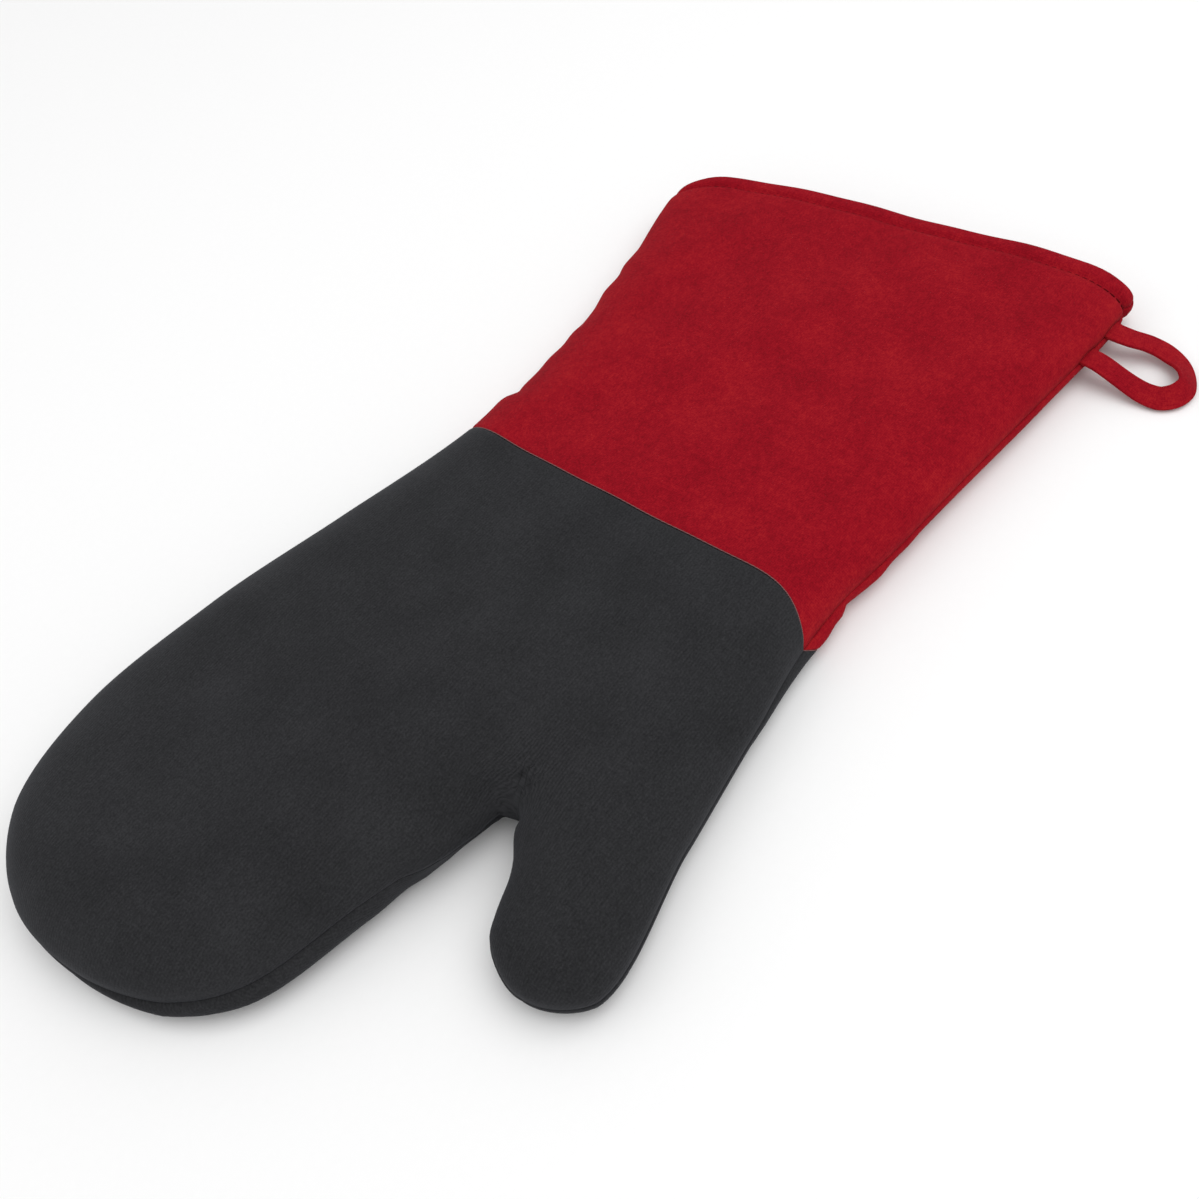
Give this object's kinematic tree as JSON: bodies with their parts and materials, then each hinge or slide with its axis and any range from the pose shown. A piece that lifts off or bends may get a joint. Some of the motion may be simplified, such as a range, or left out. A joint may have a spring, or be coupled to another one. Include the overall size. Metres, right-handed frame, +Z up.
{
  "type": "oven mitt",
  "caption": "Long gauntlet oven mitt lying flat: padded knit hand with a finger lobe and a thumb, flared cotton cuff with a stitched hem, and a hanging loop at the side seam.",
  "frame": {"origin": "under the middle of the mitt's box, on the surface that it lies on", "axes": "+X runs from the fingertips to the cuff's opening, +Y from the thumb's side to the little finger's side, +Z up through the mitt's thickness"},
  "size_m": [0.4424, 0.2598, 0.033],
  "materials": {
    "hand_shell": "matt ribbed knit over thin foam",
    "cuff_cloth": "matt plain-weave cotton",
    "wadding": "soft fibre wadding",
    "lining": "matt cotton",
    "dark_thread": "spun thread",
    "red_thread": "spun thread",
    "loop_tape": "folded and sewn cotton tape"
  },
  "bodies": {
    "mitt": {"hand_shell_top": "hand_shell", "hand_shell_bottom": "hand_shell", "cuff_panel_top": "cuff_cloth", "cuff_panel_bottom": "cuff_cloth", "wadding_top": "wadding", "wadding_bottom": "wadding", "lining_top": "lining", "lining_bottom": "lining", "hand_seam_thread": "dark_thread", "join_seam_thread": "dark_thread", "cuff_seam_thread_finger_side": "red_thread", "cuff_seam_thread_thumb_side": "red_thread", "hem_topstitch": "red_thread", "loop_end_front": "loop_tape", "loop_end_back": "loop_tape"},
    "loop": {"hanging_loop": "loop_tape"}
  },
  "joints": [
    {"name": "loop_swing", "type": "hinge", "parent": "mitt", "child": "loop", "pos_m": [0.19265, -0.09188, 0.01], "axis": [-0.9969, 0.0791, 0], "range_deg": [-75, 95]}
  ]
}
